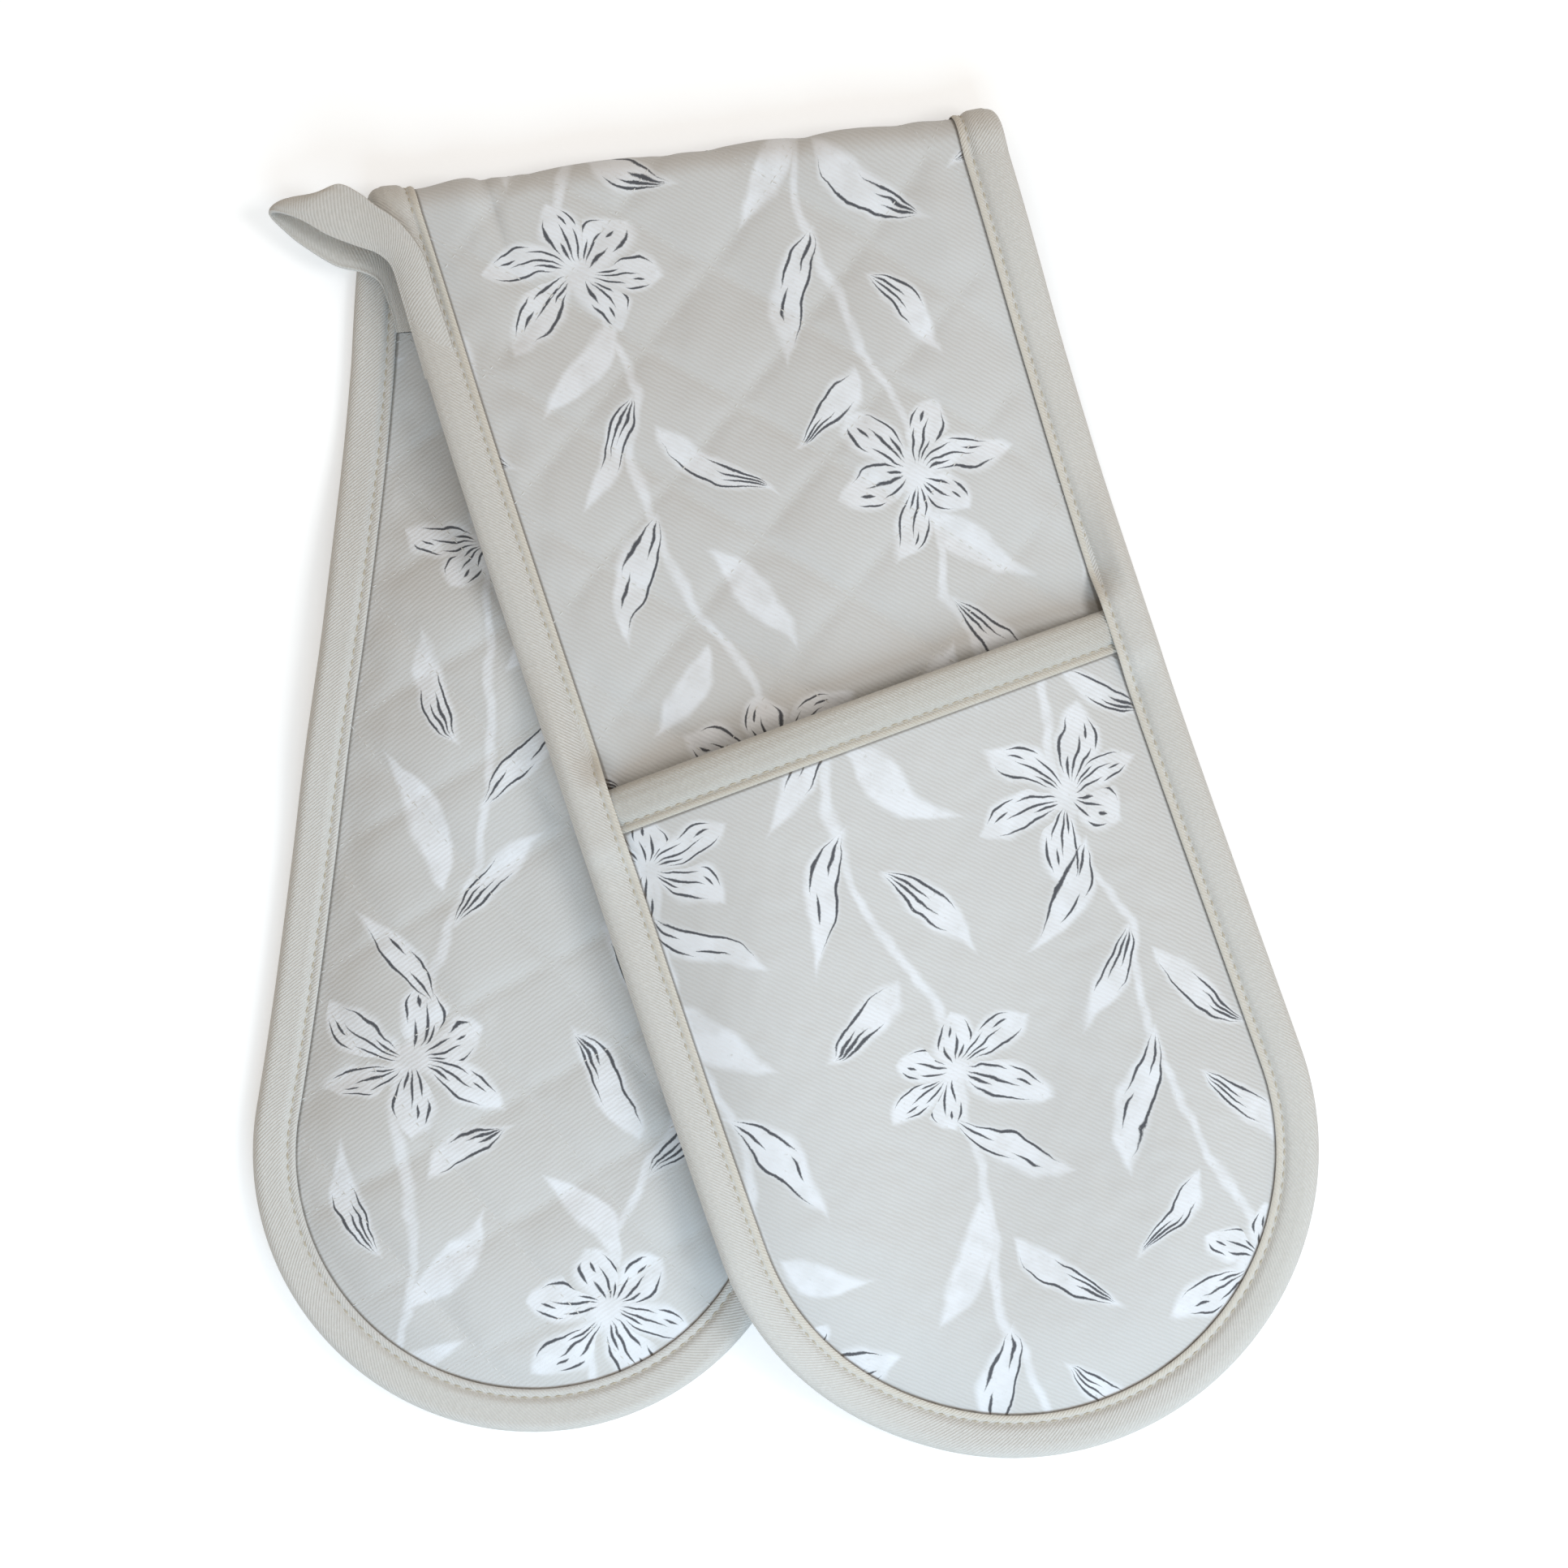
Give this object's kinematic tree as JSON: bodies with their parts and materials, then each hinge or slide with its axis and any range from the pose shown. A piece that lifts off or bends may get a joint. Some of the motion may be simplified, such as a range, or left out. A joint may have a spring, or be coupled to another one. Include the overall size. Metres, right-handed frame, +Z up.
{
  "type": "double oven glove",
  "caption": "Quilted double oven glove folded over and laid flat: a padded strip with a hand pocket at each end, taped edges and a hanging loop.",
  "frame": {"origin": "centre of the overall box at the level of the surface that the folded glove lies on", "axes": "+Z up, +Y towards the fold and the hanging loop, +X towards the side of the upper, front arm's round end"},
  "size_m": [0.3104, 0.3948, 0.0449],
  "materials": {
    "printed_cloth": "matt cotton twill with a dark botanical line print",
    "lining": "matt plain cotton",
    "wadding": "soft cotton batting, hidden inside",
    "binding_tape": "matt woven cotton tape, topstitched"
  },
  "bodies": {
    "back_arm": {"back_outer_cover": "printed_cloth", "back_wadding": "wadding", "back_inner_cover": "printed_cloth", "back_pocket_cover": "printed_cloth", "back_pocket_wadding": "wadding", "back_pocket_lining": "lining", "back_pocket_mouth_binding": "binding_tape", "back_edge_binding": "binding_tape", "fold_outer_cover": "printed_cloth", "fold_wadding": "wadding", "fold_inner_cover": "printed_cloth", "fold_binding_left": "binding_tape", "fold_binding_right": "binding_tape"},
    "front_arm": {"front_outer_cover": "printed_cloth", "front_wadding": "wadding", "front_inner_cover": "printed_cloth", "front_pocket_cover": "printed_cloth", "front_pocket_wadding": "wadding", "front_pocket_lining": "lining", "front_pocket_mouth_binding": "binding_tape", "front_edge_binding": "binding_tape"},
    "loop": {"hanging_loop": "binding_tape"}
  },
  "joints": [
    {"name": "fold_hinge", "type": "hinge", "parent": "back_arm", "child": "front_arm", "pos_m": [0.00724, 0.18414, 0.0104], "axis": [-1, 0, 0], "range_deg": [0, 180], "deforming": ["fold_outer_cover", "fold_wadding", "fold_inner_cover", "fold_binding_left", "fold_binding_right"]},
    {"name": "loop_swing", "type": "hinge", "parent": "front_arm", "child": "loop", "pos_m": [-0.07125, 0.15692, 0.01857], "axis": [-0.179, 0.9719, -0.153], "range_deg": [0, 90], "deforming": ["hanging_loop"]}
  ]
}
